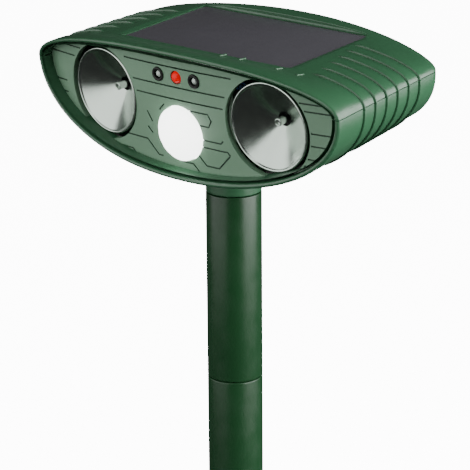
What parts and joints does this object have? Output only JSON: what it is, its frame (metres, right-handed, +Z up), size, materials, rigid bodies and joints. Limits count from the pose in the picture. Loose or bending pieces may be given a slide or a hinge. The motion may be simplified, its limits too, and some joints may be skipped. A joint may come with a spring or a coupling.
{
  "type": "ultrasonic pest repeller",
  "caption": "Solar garden pest repeller: a bowed head with horn speakers, motion sensor and warning lamps, on a jointed stake.",
  "frame": {"origin": "pole's axis at soil level, on the underside of the spike's collar", "axes": "+Z up along the pole, +X to the right seen from behind the head's front face, horns and sensor face -Y"},
  "size_m": [0.16, 0.0867, 0.3442],
  "materials": {
    "stake_plastic": "moulded deep green plastic, soft gloss",
    "housing_plastic": "moulded green plastic, fine satin grain",
    "panel_plastic": "moulded grey-green plastic with engraved lines",
    "rubber": "matt black rubber",
    "bell_metal": "spun bright bell",
    "black_plastic": "black moulded plastic",
    "lens_plastic": "white faceted lens plastic",
    "clear_lamp": "clear lamp",
    "red_lamp": "red lamp",
    "plated_steel": "plated",
    "circuit_board": "green solder mask",
    "solar_glass": "dark cells under clear resin",
    "copper_winding": "enamelled winding",
    "cell_wrap": "shrink wrap"
  },
  "bodies": {
    "stake": {"ground_spike": "stake_plastic", "lower_tube": "stake_plastic", "upper_tube": "stake_plastic"},
    "head": {"lower_housing": "housing_plastic", "upper_housing": "housing_plastic", "battery_door": "housing_plastic", "front_panel": "panel_plastic", "front_seal": "rubber", "solar_pad": "rubber", "left_horn": "bell_metal", "right_horn": "bell_metal", "left_phase_plug": "bell_metal", "right_phase_plug": "bell_metal", "left_piezo_driver": "black_plastic", "right_piezo_driver": "black_plastic", "left_lamp_bush": "black_plastic", "right_lamp_bush": "black_plastic", "lens_retainer": "black_plastic", "controller_chip": "black_plastic", "battery_holder": "black_plastic", "sensitivity_potentiometer": "black_plastic", "mode_potentiometer": "black_plastic", "storage_capacitor": "black_plastic", "motion_lens": "lens_plastic", "left_flash_lamp": "clear_lamp", "right_flash_lamp": "clear_lamp", "indicator_lamp": "red_lamp", "motion_sensor": "plated_steel", "positive_contact": "plated_steel", "negative_contact": "plated_steel", "power_switch": "plated_steel", "usb_socket": "plated_steel", "left_front_housing_screw": "plated_steel", "left_rear_housing_screw": "plated_steel", "right_front_housing_screw": "plated_steel", "right_rear_housing_screw": "plated_steel", "left_door_screw": "plated_steel", "right_door_screw": "plated_steel", "sensor_board": "circuit_board", "main_board": "circuit_board", "control_board": "circuit_board", "solar_panel": "solar_glass", "left_drive_coil": "copper_winding", "right_drive_coil": "copper_winding", "battery_cell": "cell_wrap"},
    "sensitivity_knob": {"sensitivity_knob": "black_plastic"},
    "mode_knob": {"mode_knob": "black_plastic"},
    "power_slider": {"power_slider": "black_plastic"},
    "usb_cover": {"usb_cover": "rubber"}
  },
  "joints": [
    {"name": "head_swivel", "type": "hinge", "parent": "stake", "child": "head", "pos_m": [0, 0, 0.18], "axis": [0, 0, 1], "continuous": true},
    {"name": "mode_turn", "type": "hinge", "parent": "head", "child": "mode_knob", "pos_m": [0.0165, 0.04153, 0.20133], "axis": [0, 0.9957, 0.0924], "range_deg": [-140, 140]},
    {"name": "sensitivity_turn", "type": "hinge", "parent": "head", "child": "sensitivity_knob", "pos_m": [-0.0165, 0.04153, 0.20133], "axis": [0, 0.9957, 0.0924], "range_deg": [-140, 140]},
    {"name": "power_slide", "type": "slide", "parent": "head", "child": "power_slider", "axis": [1, 0, 0], "range_m": [0, 0.003]},
    {"name": "usb_cover_hinge", "type": "hinge", "parent": "head", "child": "usb_cover", "pos_m": [0, 0.04393, 0.19392], "axis": [-1, 0, 0], "range_deg": [0, 100]}
  ]
}
